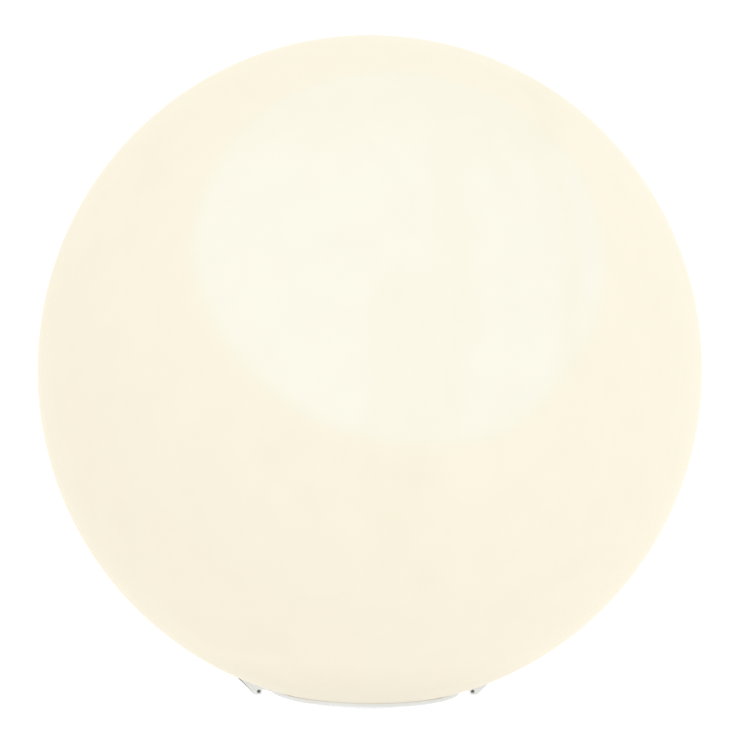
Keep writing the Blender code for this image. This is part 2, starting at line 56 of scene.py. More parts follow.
BODY_OF = {node: body for body, nodes in frame["record"]["behaviour"]["bodies"].items() for node in nodes}
SLOT_OF = {part["node"]: part["material_slot"] for part in frame["record"]["subparts"]}


def low(node):
    """Lowest corner of a CAD node."""
    return Vector(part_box(node)[0])


def high(node):
    """Highest corner of a CAD node."""
    return Vector(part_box(node)[1])


def middle(node):
    """Centre of a CAD node's box."""
    return (low(node) + high(node)) / 2


# Globe, with its middle worked out from its top and the height of its mouth
GLOBE_RADIUS = high("globe_shell").x
GLOBE_WALL = 3.0 * MM
MOUTH_RADIUS = 41.0 * MM
MOUTH_SHARE = math.sqrt(1 - (MOUTH_RADIUS / GLOBE_RADIUS) ** 2)
GLOBE_HALF_HEIGHT = (high("globe_shell").z - low("globe_shell").z) / (1 + MOUTH_SHARE)
GLOBE_CENTRE = Vector((0, 0, high("globe_shell").z - GLOBE_HALF_HEIGHT))

# Neck and thread
THREAD_LEAD = 18.0 * MM
THREAD_STARTS = 3
MALE_CREST = 36.6 * MM
FEMALE_CREST = 35.8 * MM
MALE_BOTTOM_Z = 12.0 * MM
MALE_SWEEP = math.radians(100)
FEMALE_SWEEP = math.radians(55)
NECK_BORE = 37.4 * MM
NECK_RADIUS = 40.6 * MM
NECK_FLANGE_RADIUS = 47.0 * MM
NECK_FLANGE_TOP_Z = 14.2 * MM

# Base cover
COVER_RADIUS = 43.0 * MM
COVER_RIM_Z = 5.1 * MM
COVER_TOP_Z = 5.6 * MM
FOOT_RADIUS = 21.5 * MM
WELL_RADIUS = 17.5 * MM
WELL_Z = 3.6 * MM
LUG_WIDTH = 10.0 * MM
LUG_TIP_Z = 3.6 * MM
LUG_TIP_RADIUS = 47.4 * MM
LUG_ROOT_RADIUS = 59.4 * MM
TETHER_RADIUS = 0.8 * MM
TETHER_HOLE = (48.7 * MM, 5.2 * MM)
SCREW_CIRCLE = 30.0 * MM

# Base housing
CUP_RADIUS = 35.0 * MM
CUP_BORE = 32.8 * MM
LEDGE_RADIUS = 31.0 * MM
LEDGE_HEIGHTS = (45.7 * MM, 38.7 * MM)
LEDGE_DROP = 1.2 * MM
BOSS_RADIUS = 3.3 * MM
BOSS_TOP_Z = 20.0 * MM

# What is in the well
BUTTON_X = middle("power_button").x
BUTTON_RADIUS = 6.0 * MM
JACK_X = middle("charge_jack").x
ANCHOR_X = middle("plug_anchor").x
HINGE_X = 1.6 * MM
HINGE_Z = 2.6 * MM

# How wide each flat CAD seal is
SEAL_WIDTHS = {"cover_seal": 0.8 * MM, "neck_gasket": 3.1 * MM, "dome_seal": 2.1 * MM}

# Camera: a long lens a little above the globe's middle, rolled slightly
CAMERA_DISTANCE = 1.2
CAMERA_ELEVATION = math.radians(3.0)
CAMERA_TURN = math.radians(-4.5)
CAMERA_ROLL = math.radians(0.8)
CAMERA_SHIFT = (-0.0011, 0.0051)
GLOBE_SHARE = 0.9048  # the globe's width in the image
SENSOR_WIDTH = 36.0


def globe_height(radius, inset=0.0):
    """Height of the globe's lower surface at this distance from the axis."""
    share = radius / (GLOBE_RADIUS - inset)
    return GLOBE_CENTRE.z - (GLOBE_HALF_HEIGHT - inset) * math.sqrt(1 - share * share)


def screw_places():
    """Centres of the four cover screws."""
    turns = [math.tau * quarter / 4 for quarter in range(4)]
    return [(SCREW_CIRCLE * math.cos(turn), SCREW_CIRCLE * math.sin(turn)) for turn in turns]


# ---------------------------------------------------------------- mesh work


def smooth(knots, steps):
    """Points along a smooth curve through the knots."""
    knots = [Vector(knot) for knot in knots]
    padded = [knots[0] * 2 - knots[1]] + knots + [knots[-1] * 2 - knots[-2]]
    points = []
    for before, start, end, after in zip(padded, padded[1:], padded[2:], padded[3:]):
        for step in range(steps):
            t = step / steps
            bend = (2 * before - 5 * start + 4 * end - after) * t**2
            bend += (3 * start - before - 3 * end + after) * t**3
            points.append(tuple(0.5 * (2 * start + (end - before) * t + bend)))
    return points + [tuple(knots[-1])]


def fillet(outline, radius, steps=4):
    """Rounds the corners of a closed outline. Points on the axis stay sharp."""
    rounded = []
    for index, corner in enumerate(outline):
        here = Vector(corner)
        back, ahead = Vector(outline[index - 1]) - here, Vector(outline[(index + 1) % len(outline)]) - here
        opening = back.angle(ahead, math.pi)
        if here.x == 0 or math.pi - opening < math.radians(12):
            rounded.append(tuple(here))
            continue
        reach = min(radius / math.tan(opening / 2), 0.4 * back.length, 0.4 * ahead.length)
        start, end = here + back.normalized() * reach, here + ahead.normalized() * reach
        for step in range(steps + 1):
            t = step / steps
            rounded.append(tuple(start * (1 - t) ** 2 + here * (2 * t * (1 - t)) + end * t * t))
    return rounded


def add_piece(name, mesh, paint=None):
    """Puts a mesh into the scene with its material."""
    piece = bpy.data.objects.new(name, mesh)
    bpy.context.collection.objects.link(piece)
    if paint is not None:
        mesh.materials.append(paint)
    return piece


def mesh_from(name, shape, sharp=35):
    """Turns a bmesh into a smoothly shaded mesh with its faces pointing out."""
    bmesh.ops.recalc_face_normals(shape, faces=shape.faces)
    mesh = bpy.data.meshes.new(name)
    shape.to_mesh(mesh)
    shape.free()
    mesh.shade_smooth()
    mesh.set_sharp_from_angle(angle=math.radians(sharp))
    return mesh


def turned(name, outline, sides=96, at=(0, 0, 0), paint=None, axis="Z"):
    """A solid of revolution about Z, X or Y through a point."""
    shape = bmesh.new()
    rings = []
    for radius, height in outline:
        if radius == 0:
            rings.append([shape.verts.new((0, 0, height))])
            continue
        turns = [math.tau * side / sides for side in range(sides)]
        rings.append([shape.verts.new((radius * math.cos(a), radius * math.sin(a), height)) for a in turns])
    for first, second in zip(rings, rings[1:] + rings[:1]):
        if len(first) == 1 and len(second) == 1:
            continue
        for side in range(sides):
            after = (side + 1) % sides
            corners = [first[side % len(first)], first[after % len(first)]]
            corners += [second[after % len(second)], second[side % len(second)]]
            shape.faces.new(list(dict.fromkeys(corners)))
    if axis != "Z":
        turn = Matrix.Rotation(math.pi / 2, 3, "Y" if axis == "X" else "X")
        bmesh.ops.rotate(shape, verts=shape.verts, matrix=turn)
    bmesh.ops.translate(shape, verts=shape.verts, vec=at)
    return add_piece(name, mesh_from(name, shape), paint)


def plate(name, outline, width, rounding):
    """An outline in the XZ plane, thickened along Y, with its long edges rounded."""
    shape = bmesh.new()
    face = shape.faces.new([shape.verts.new((x, -width / 2, z)) for x, z in outline])
    pushed = bmesh.ops.extrude_face_region(shape, geom=[face])
    moved = [item for item in pushed["geom"] if isinstance(item, bmesh.types.BMVert)]
    bmesh.ops.translate(shape, verts=moved, vec=(0, width, 0))
    ends = [edge for edge in shape.edges if abs(edge.verts[0].co.y - edge.verts[1].co.y) < 1e-7]
    bmesh.ops.bevel(shape, geom=ends, offset=rounding, segments=3, profile=0.5, affect="EDGES")
    return add_piece(name, mesh_from(name, shape))


def rounded_box(name, size, centre, rounding, paint=None, turn=0.0):
    """A box with rounded edges, turned about its own upright axis."""
    shape = bmesh.new()
    bmesh.ops.create_cube(shape, size=1.0, matrix=Matrix.Diagonal((*size, 1.0)))
    bmesh.ops.bevel(shape, geom=shape.edges, offset=rounding, segments=3, profile=0.5, affect="EDGES")
    bmesh.ops.rotate(shape, verts=shape.verts, matrix=Matrix.Rotation(turn, 3, "Z"))
    bmesh.ops.translate(shape, verts=shape.verts, vec=centre)
    return add_piece(name, mesh_from(name, shape), paint)


def bar(name, radius, start, end, at, sides=48, flare=0.0):
    """A round cutting or joining tool along Z, wider by the flare at its start."""
    outline = [(0, start), (radius + flare, start), (radius, start + flare), (radius, end), (0, end)]
    if not flare:
        outline.pop(2)
    return turned(name, outline, sides, (*at, 0))


def weld(mesh):
    """Joins points that lie almost on each other, and shades the mesh smooth up to its sharp edges."""
    shape = bmesh.new()
    shape.from_mesh(mesh)
    bmesh.ops.remove_doubles(shape, verts=shape.verts, dist=WELD)
    bmesh.ops.dissolve_degenerate(shape, edges=shape.edges, dist=WELD)
    shape.to_mesh(mesh)
    shape.free()
    mesh.shade_smooth()
    mesh.set_sharp_from_angle(angle=math.radians(32))


def combine(piece, tools, operation="DIFFERENCE"):
    """Cuts tools out of a piece, or joins them to it, and keeps the result."""
    for tool in tools:
        change = piece.modifiers.new(tool.name, "BOOLEAN")
        change.operation = operation
        change.solver = "MANIFOLD"
        change.object = tool
    graph = bpy.context.evaluated_depsgraph_get()
    graph.update()
    mesh = bpy.data.meshes.new_from_object(piece.evaluated_get(graph), depsgraph=graph)
    piece.modifiers.clear()
    piece.data = mesh
    weld(mesh)
    for tool in tools:
        bpy.data.objects.remove(tool)


def ridges(name, crest, root, bottom_z, sweep, steps):
    """The ridges of every thread start, each tapering away at both ends."""
    half = 0.9 * MM
    shape = bmesh.new()
    for start in range(THREAD_STARTS):
        loops = []
        for step in range(steps + 1):
            turn = sweep * step / steps
            swell = min(1.0, 0.15 + 0.85 * min(step, steps - step) / (0.12 * steps))
            tip = root + (crest - root) * swell
            angle = turn + math.tau * start / THREAD_STARTS
            rise = bottom_z + THREAD_LEAD * turn / math.tau
            flank = root + 0.75 * (tip - root)
            section = [(root, -1.0), (flank, -0.62), (tip, -0.35), (tip, 0.35), (flank, 0.62), (root, 1.0)]
            out_x, out_y = math.cos(angle), math.sin(angle)
            loops.append([shape.verts.new((r * out_x, r * out_y, rise + z * half)) for r, z in section])
        for first, second in zip(loops, loops[1:]):
            for corner in range(len(first)):
                after = (corner + 1) % len(first)
                shape.faces.new((first[corner], first[after], second[after], second[corner]))
        shape.faces.new(loops[0])
        shape.faces.new(reversed(loops[-1]))
    return add_piece(name, mesh_from(name, shape))


def rides_with(piece, node):
    """Adds the piece to a CAD node's body."""
    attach(piece, BODY_OF[node])


def stands_for(piece, node):
    """Shows the piece in place of a CAD node."""
    rides_with(piece, node)
    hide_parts(node)


# ---------------------------------------------------------------- materials


class Paint:
    """A node material that is put together round one Principled shader."""

    def __init__(self, name):
        self.material = bpy.data.materials.new(name)
        self.material.use_nodes = True
        self.tree = self.material.node_tree
        self.shader = self.tree.nodes["Principled BSDF"]

    def node(self, kind, inputs=None, **settings):
        """Adds a node. Inputs are numbers, colours or the sockets to link."""
        made = self.tree.nodes.new("ShaderNode" + kind)
        for key, value in settings.items():
            setattr(made, key, value)
        for key, value in (inputs or {}).items():
            if isinstance(value, bpy.types.NodeSocket):
                self.tree.links.new(value, made.inputs[key])
            else:
                made.inputs[key].default_value = value
        return made

    def feed(self, socket, value):
        """Links a node's output to the shader."""
        self.tree.links.new(value, self.shader.inputs[socket])

    def fix(self, **values):
        """Sets the shader's own numbers and colours."""
        for key, value in values.items():
            self.shader.inputs[key.replace("_", " ")].default_value = value

    def place(self, scale=(1, 1, 1)):
        """Place on the piece, in metres."""
        coordinates = self.node("TexCoord").outputs["Object"]
        return self.node("Mapping", {"Vector": coordinates, "Scale": scale}).outputs["Vector"]

    def noise(self, where, scale, detail=3.0, rough=0.5):
        inputs = {"Vector": where, "Scale": scale, "Detail": detail, "Roughness": rough}
        return self.node("TexNoise", inputs).outputs["Fac"]

    def spread(self, value, low_in, high_in, low_out, high_out, kind="LINEAR"):
        inputs = {"Value": value, "From Min": low_in, "From Max": high_in}
        inputs |= {"To Min": low_out, "To Max": high_out}
        return self.node("MapRange", inputs, interpolation_type=kind).outputs["Result"]

    def maths(self, operation, first, second):
        return self.node("Math", {0: first, 1: second}, operation=operation).outputs["Value"]

    def vector(self, operation, first, second):
        made = self.node("VectorMath", {0: first, 1: second}, operation=operation)
        return made.outputs["Value" if operation in ("DOT_PRODUCT", "LENGTH") else "Vector"]

    def mixed(self, share, first, second):
        """Mix of two colours, each a socket or three numbers."""
        made = self.node("Mix", {0: share}, data_type="RGBA")
        for index, value in ((6, first), (7, second)):
            if isinstance(value, bpy.types.NodeSocket):
                self.tree.links.new(value, made.inputs[index])
            else:
                made.inputs[index].default_value = (*value, 1.0)
        return made.outputs[2]

    def ramp(self, share, stops):
        """Colour that runs through the stops, each a place from 0 to 1 and a colour."""
        made = self.node("ValToRGB", {"Fac": share})
        places = made.color_ramp.elements
        while len(places) < len(stops):
            places.new(0.5)
        for element, (place, colour) in zip(places, stops):
            element.position = place
            element.color = (*colour, 1.0)
        made.color_ramp.interpolation = "B_SPLINE"
        return made.outputs["Color"]

    def bump(self, height, depth, before=None):
        inputs = {"Height": height, "Distance": depth, "Strength": 1.0}
        if before is not None:
            inputs["Normal"] = before
        return self.node("Bump", inputs).outputs["Normal"]


def surface(name, light, dark, rough, grain, depth, stretch=(1, 1, 1), patch=60.0, **fixed):
    """A material with broad colour drift, fine roughness drift and a fine relief."""
    paint = Paint(name)
    where = paint.place(stretch)
    fine = paint.noise(where, grain, 3.0, 0.6)
    share = paint.spread(paint.noise(where, patch, 4.0), 0.35, 0.68, 0.0, 1.0)
    paint.feed("Base Color", paint.mixed(share, light, dark))
    paint.feed("Roughness", paint.spread(fine, 0.3, 0.7, rough - 0.06, rough + 0.08))
    paint.feed("Normal", paint.bump(fine, depth))
    paint.fix(**fixed)
    return paint


# The globe's own colour, and the glow of its wall with painted shade, from the dim side to the bright side
GLOBE_BODY = (0.24, 0.228, 0.196)
GLOBE_BODY_DIM = (0.228, 0.216, 0.184)
PAINTED_LIGHT_WAY = (0.556, -0.395, 0.735)
GLOW_WITH_PAINTED_SHADE = (
    (0.0, (0.712, 0.662, 0.537)),
    (0.28, (0.727, 0.668, 0.553)),
    (0.45, (0.745, 0.697, 0.568)),
    (0.65, (0.752, 0.709, 0.576)),
    (1.0, (0.776, 0.737, 0.612)),
)
# The painted pool of light high on the globe's front: its colour, aim and soft edges
PAINTED_POOL_GLOW = (0.756, 0.749, 0.655)
GLOW_STREAK = (0.72, 0.68, 0.54)
POOL_RISE = math.radians(26.2)
POOL_SWING = math.radians(2.3)
POOL_EDGES = (math.radians(37.2), math.radians(31.2))


def globe_paint():
    """Milky polyethylene glowing from inside, with a painted pool of light high on the front and painted
    shade low on the left and at the bottom.
    """
    paint = Paint("globe_glow")
    where = paint.place()
    outward = paint.vector("NORMALIZE", paint.vector("SUBTRACT", where, GLOBE_CENTRE), (0, 0, 0))
    wander = paint.spread(paint.noise(where, 9.0, 2.0), 0.3, 0.7, -0.012, 0.012)
    # Painted pool of light high on the front, fading towards the top
    level = math.cos(POOL_RISE)
    pool_way = (math.sin(POOL_SWING) * level, -math.cos(POOL_SWING) * level, math.sin(POOL_RISE))
    pool = paint.maths("ADD", paint.vector("DOT_PRODUCT", outward, pool_way), wander)
    outer, inner = (math.cos(edge) for edge in POOL_EDGES)
    height = paint.vector("DOT_PRODUCT", outward, (0, 0, 1))
    fading = paint.spread(height, 0.55, 0.78, 1.0, 0.65, "SMOOTHSTEP")
    inside = paint.maths("MULTIPLY", paint.spread(pool, outer, inner, 0.0, 1.0, "SMOOTHERSTEP"), fading)
    # Painted shade: the glow is darker on the lower left and brighter on the upper right, as if lit from
    # there
    painted_shading = paint.vector("DOT_PRODUCT", outward, Vector(PAINTED_LIGHT_WAY).normalized())
    painted_shading = paint.maths("ADD", painted_shading, paint.maths("MULTIPLY", wander, 3.0))
    lit = paint.mixed(inside, paint.ramp(paint.spread(painted_shading, -1.0, 1.0, 0.0, 1.0), GLOW_WITH_PAINTED_SHADE), PAINTED_POOL_GLOW)
    # Faint slanting streaks and clouds, where the wall is a little thicker
    slant = paint.node("Mapping", {"Vector": where, "Rotation": (0, 0.7, 0), "Scale": (16.0, 4.0, 3.0)})
    streaks = paint.noise(slant.outputs["Vector"], 1.0, 3.0)
    streak = paint.spread(streaks, 0.55, 0.72, 0.0, 0.3, "SMOOTHSTEP")
    cloud = paint.spread(paint.noise(where, 38.0, 4.0), 0.3, 0.7, 0.0, 0.1)
    lit = paint.mixed(paint.maths("ADD", streak, cloud), lit, GLOW_STREAK)
    # Painted shade: the wall's glow is darkened towards the bottom, and most just above the base's cup,
    # where the base shades it.
    lower = paint.spread(height, -1.0, 0.6, 0.905, 0.985)
    painted_contact_shade = paint.spread(height, -0.97, -0.8, 0.875, 1.0)
    shaded_glow = paint.node("VectorMath", {0: lit}, operation="SCALE")
    paint.tree.links.new(paint.maths("MULTIPLY", lower, painted_contact_shade), shaded_glow.inputs["Scale"])
    paint.feed("Emission Color", shaded_glow.outputs[0])
    skin = paint.noise(where, 420.0, 3.0, 0.55)
    ripple = paint.noise(where, 60.0, 2.0)
    ripple_share = paint.spread(ripple, 0.3, 0.7, 0.0, 1.0)
    paint.feed("Base Color", paint.mixed(ripple_share, GLOBE_BODY, GLOBE_BODY_DIM))
    paint.feed("Roughness", paint.spread(skin, 0.3, 0.7, 0.36, 0.5))
    paint.feed("Normal", paint.bump(skin, 0.02 * MM, paint.bump(ripple, 0.05 * MM)))
    paint.fix(Emission_Strength=1.0, Specular_IOR_Level=0.01)
    return paint.material


def abs_paint():
    """White moulded plastic with a spark-eroded grain, slight flow marks and faint scuffs."""
    paint = Paint("white_abs_moulded")
    where = paint.place()
    drift = paint.spread(paint.noise(where, 45.0, 4.0), 0.35, 0.68, 0.0, 1.0)
    clean = paint.mixed(drift, (0.8, 0.812, 0.82), (0.775, 0.787, 0.793))
    scuff = paint.noise(paint.place((1.0, 6.0, 1.0)), 260.0, 5.0, 0.7)
    worn = paint.spread(scuff, 0.62, 0.8, 0.0, 0.35)
    paint.feed("Base Color", paint.mixed(worn, clean, (0.6, 0.605, 0.61)))
    grain = paint.noise(where, 1400.0, 3.0, 0.6)
    satin = paint.spread(grain, 0.3, 0.7, 0.36, 0.48)
    rough = paint.maths("ADD", satin, paint.maths("MULTIPLY", worn, 0.3))
    paint.feed("Roughness", rough)
    waves = paint.bump(paint.noise(where, 90.0, 2.0), 0.03 * MM)
    paint.feed("Normal", paint.bump(grain, 0.012 * MM, waves))
    paint.fix(Subsurface_Weight=0.08, Subsurface_Radius=(0.6, 0.5, 0.4), Subsurface_Scale=2 * MM)
    return paint.material


def rubber_paint(name, light, dark, rough):
    """Matt silicone with a fine bloom of dust."""
    return surface(
        name, light, dark, rough, 900.0, 0.02 * MM, patch=120.0, Sheen_Weight=0.25, Sheen_Roughness=0.5
    ).material


def metal_paint(name, light, dark, rough, stretch=(1, 1, 1)):
    """Drawn metal, with its marks along the stretch."""
    look = surface(name, light, dark, rough, 500.0, 0.006 * MM, stretch, Metallic=1.0, Anisotropic=0.4)
    return look.material


def lathe_paint(name, light, dark, rough, pitch):
    """Metal with the fine rings of a lathe about the Z axis."""
    paint = surface(name, light, dark, rough, 400.0, 0.004 * MM, Metallic=1.0)
    where = paint.place()
    radius = paint.vector("LENGTH", paint.vector("MULTIPLY", where, (1, 1, 0)), (0, 0, 0))
    rings = paint.node("Math", {0: paint.maths("MULTIPLY", radius, math.tau / pitch)}, operation="SINE")
    relief = paint.maths("ADD", rings.outputs["Value"], paint.noise(where, 500.0, 2.0))
    paint.feed("Normal", paint.bump(relief, 0.006 * MM))
    return paint.material


def board_paint(name, mask, trace, cell):
    """Solder mask over copper: fine runs in two directions, and tinned pads."""
    paint = Paint(name)
    where = paint.place()
    inputs = {"Vector": where, "Scale": 1 / cell, "Brick Width": 0.9}
    inputs |= {"Mortar Size": 0.035, "Mortar Smooth": 0.2}
    runs = paint.node("TexBrick", inputs, offset=0.5).outputs["Fac"]
    cells = paint.node("TexVoronoi", {"Vector": where, "Scale": 0.45 / cell}, feature="F1")
    dots = cells.outputs["Distance"]
    pad = paint.spread(dots, 0.1, 0.13, 1.0, 0.0)
    paint.feed("Base Color", paint.mixed(pad, paint.mixed(runs, mask, trace), (0.62, 0.62, 0.58)))
    paint.feed("Roughness", paint.spread(paint.noise(where, 700.0, 2.0), 0.3, 0.7, 0.28, 0.4))
    relief = paint.maths("ADD", runs, paint.maths("MULTIPLY", pad, 1.4))
    paint.feed("Normal", paint.bump(relief, 0.03 * MM))
    paint.fix(Coat_Weight=0.3)
    return paint.material


def tape_paint():
    """Woven black strapping."""
    paint = Paint("woven_tape")
    where = paint.place()
    warp = paint.node("TexWave", {"Vector": where, "Scale": 500.0}, bands_direction="X").outputs["Fac"]
    weft = paint.node("TexWave", {"Vector": where, "Scale": 500.0}, bands_direction="Y").outputs["Fac"]
    weave = paint.maths("MULTIPLY", warp, weft)
    paint.feed("Base Color", paint.mixed(weave, (0.015, 0.015, 0.016), (0.05, 0.05, 0.052)))
    paint.feed("Normal", paint.bump(weave, 0.12 * MM))
    paint.fix(Roughness=0.75, Sheen_Weight=0.4)
    return paint.material


def wrap_paint():
    """Blue shrink film drawn tight over a cell, with small creases across it."""
    light, dark = (0.03, 0.12, 0.46), (0.04, 0.16, 0.55)
    paint = surface("cell_wrap", light, dark, 0.24, 300.0, 0.02 * MM, patch=90.0)
    creases = paint.noise(paint.place((6.0, 1.0, 1.0)), 160.0, 4.0)
    paint.feed("Normal", paint.bump(creases, 0.05 * MM))
    paint.fix(Coat_Weight=0.5, Coat_Roughness=0.12)
    return paint.material


def dome_paint():
    """Frosted polycarbonate, lit by the emitters under it, most at its middle height."""
    light, dark = (0.95, 0.94, 0.9), (0.92, 0.91, 0.87)
    paint = surface("frosted_dome", light, dark, 0.32, 1100.0, 0.015 * MM)
    height = paint.node("SeparateXYZ", {"Vector": paint.place()}).outputs["Z"]
    upward = paint.spread(height, low("lens_dome").z, high("lens_dome").z, 0.0, 1.0)
    paint.feed("Emission Color", paint.mixed(upward, (0.36, 0.31, 0.2), (0.62, 0.57, 0.43)))
    paint.fix(Emission_Strength=0.35, Transmission_Weight=0.45, IOR=1.58)
    return paint.material


def emitter_paint():
    """Yellow phosphor that gives light."""
    light, dark = (0.95, 0.8, 0.25), (0.9, 0.72, 0.18)
    paint = surface("led_phosphor_lit", light, dark, 0.3, 900.0, 0.01 * MM, patch=400.0)
    glow = paint.noise(paint.place(), 500.0, 2.0)
    paint.feed("Emission Color", paint.mixed(glow, (1.0, 0.86, 0.55), (1.0, 0.92, 0.7)))
    paint.fix(Emission_Strength=3.0)
    return paint.material


def gloss_paint(name, light, dark, rough=0.38):
    """Smooth plastic with a slight orange peel."""
    return surface(name, light, dark, rough, 800.0, 0.01 * MM, patch=200.0, Coat_Weight=0.2).material


WHITE = abs_paint()
GLOW = globe_paint()
GREY_SILICONE = rubber_paint("grey_silicone_matt", (0.46, 0.48, 0.51), (0.41, 0.43, 0.46), 0.6)
CLEAR_SILICONE = rubber_paint("milky_silicone", (0.78, 0.79, 0.78), (0.7, 0.71, 0.7), 0.5)
BLACK = gloss_paint("black_nylon", (0.03, 0.03, 0.032), (0.045, 0.045, 0.047), 0.5)
STEEL = metal_paint("stainless", (0.66, 0.66, 0.64), (0.55, 0.55, 0.54), 0.28)
BALLAST = lathe_paint("turned_steel", (0.6, 0.6, 0.59), (0.5, 0.5, 0.49), 0.34, 0.5 * MM)
ALUMINIUM = lathe_paint("turned_aluminium", (0.78, 0.79, 0.8), (0.7, 0.71, 0.72), 0.3, 0.35 * MM)
COPPER = metal_paint("enamelled_copper", (0.56, 0.2, 0.07), (0.48, 0.16, 0.05), 0.28, (1, 1, 6))
NICKEL = metal_paint("nickel_strip", (0.66, 0.63, 0.56), (0.56, 0.54, 0.48), 0.3, (1, 8, 1))
GREEN_BOARD = board_paint("green_solder_mask", (0.012, 0.15, 0.06), (0.02, 0.24, 0.1), 2.2 * MM)
WHITE_BOARD = board_paint("white_solder_mask", (0.84, 0.84, 0.83), (0.78, 0.78, 0.76), 3.4 * MM)
SOCKET = gloss_paint("white_nylon", (0.86, 0.86, 0.84), (0.8, 0.8, 0.78))
CERAMIC = gloss_paint("led_case", (0.88, 0.87, 0.83), (0.82, 0.81, 0.77))
RED = gloss_paint("red_insulation_gloss", (0.6, 0.025, 0.02), (0.5, 0.02, 0.015))
BLACK_LEAD = gloss_paint("black_insulation_gloss", (0.02, 0.02, 0.02), (0.03, 0.03, 0.03))
WRAP = wrap_paint()
TAPE = tape_paint()
FROSTED = dome_paint()
PHOSPHOR = emitter_paint()

# What each material slot of the record looks like on the CAD nodes that stay
PAINT_OF_SLOT = {
    "white_abs": WHITE,
    "grey_silicone": GREY_SILICONE,
    "clear_silicone": CLEAR_SILICONE,
    "black_plastic": BLACK,
    "stainless_steel": STEEL,
    "aluminium": ALUMINIUM,
    "nickel": NICKEL,
    "green_board": GREEN_BOARD,
    "white_board": WHITE_BOARD,
    "blue_cell_wrap": WRAP,
    "black_tape": TAPE,
    "red_insulation": RED,
    "black_insulation": BLACK_LEAD,
}

# ---------------------------------------------------------------- the globe and its neck


def make_globe():
    """The globe's shell, with the two edges of its mouth rounded."""

    def wall(inset, rows):
        across, up = GLOBE_RADIUS - inset, GLOBE_HALF_HEIGHT - inset
        start = -math.acos(MOUTH_RADIUS / across)
        turns = [start * (1 - step / rows) for step in range(rows)]
        turns += [math.pi / 2 * step / rows for step in range(rows)]
        points = [(across * math.cos(turn), GLOBE_CENTRE.z + up * math.sin(turn)) for turn in turns]
        return points + [(0, GLOBE_CENTRE.z + up)]

    outline = fillet(wall(0.0, 48) + wall(GLOBE_WALL, 24)[::-1], 0.5 * MM)
    globe = turned("globe", outline, 192, paint=GLOW)
    stands_for(globe, "globe_shell")


def make_seal(node, name, sides):
    """A moulded seal with a bead along its middle, in place of a flat CAD ring."""
    bottom, top, outer = low(node).z, high(node).z, high(node).x
    width = SEAL_WIDTHS[node]
    lip = 0.12 * (top - bottom)
    centre, bead = outer - width / 2, 0.25 * width
    lower = [(outer - width, lip), (centre - bead, lip), (centre, 0), (centre + bead, lip), (outer, lip)]
    outline = [(r, bottom + z) for r, z in lower] + [(r, top - z) for r, z in reversed(lower)]
    seal = turned(name, fillet(outline, 0.25 * MM, 3), sides, paint=CLEAR_SILICONE)
    stands_for(seal, node)


def make_neck():
    """The threaded ring welded into the globe's mouth, and the gasket under it."""
    bottom, top = low("neck_ring").z, high("neck_ring").z
    outline = [
        (NECK_BORE, bottom),
        (NECK_RADIUS, bottom),
        (NECK_RADIUS, globe_height(NECK_RADIUS, GLOBE_WALL) + 2 * GAP),
        (NECK_FLANGE_RADIUS, globe_height(NECK_FLANGE_RADIUS, GLOBE_WALL) + 2 * GAP),
        (NECK_FLANGE_RADIUS, NECK_FLANGE_TOP_Z),
        (NECK_RADIUS, NECK_FLANGE_TOP_Z),
        (NECK_RADIUS - MM, top),
        (NECK_BORE, top),
    ]
    ring = turned("threaded_ring", fillet(outline, 0.4 * MM), 144, paint=WHITE)
    start = MALE_BOTTOM_Z + THREAD_LEAD / THREAD_STARTS / 2
    combine(ring, [ridges("female", FEMALE_CREST, NECK_BORE + 0.6 * MM, start, FEMALE_SWEEP, 24)], "UNION")
    stands_for(ring, "neck_ring")
    make_seal("neck_gasket", "gasket", 144)


# ---------------------------------------------------------------- base cover


def lug_tool(name, side):
    """One lug: a tapering web that hugs the globe and ends in a rounded tip."""
    outline = [
        (34 * MM, 3.3 * MM),
        (40 * MM, 4.4 * MM),
        (43 * MM, 5.0 * MM),
        (45.5 * MM, 5.8 * MM),
        (LUG_TIP_RADIUS - 0.2 * MM, 6.0 * MM),
        (LUG_TIP_RADIUS, LUG_TIP_Z + 0.8 * MM),
        (LUG_TIP_RADIUS + 0.5 * MM, LUG_TIP_Z),
        (LUG_TIP_RADIUS + 3.1 * MM, LUG_TIP_Z),
        (LUG_TIP_RADIUS + 3.9 * MM, LUG_TIP_Z + 0.5 * MM),
        (LUG_ROOT_RADIUS, globe_height(LUG_ROOT_RADIUS) - 2 * SEAM),
        (LUG_ROOT_RADIUS - MM, globe_height(LUG_ROOT_RADIUS - MM) - SEAM),
    ]
    hug = [LUG_ROOT_RADIUS - (1 + 1.6 * step) * MM for step in range(1, 15)]
    outline += [(radius, globe_height(radius) - SEAM) for radius in hug]
    outline = fillet(outline, 0.6 * MM, 3)
    return plate(name, [(side * x, z) for x, z in outline], LUG_WIDTH, 0.3 * MM)


def tether_tool(name, side):
    """Tool for the tether hole through a lug along Y, flared where it comes out."""
    reach, flare = LUG_WIDTH / 2, 0.3 * MM
    wide = TETHER_RADIUS + 1.3 * flare
    half = [(0, reach + MM), (wide, reach + MM), (wide, reach - 0.3 * flare)]
    half.append((TETHER_RADIUS, reach - 1.3 * flare))
    outline = [(r, -y) for r, y in half] + half[::-1]
    return turned(name, outline, 32, (side * TETHER_HOLE[0], 0, TETHER_HOLE[1]), axis="Y")


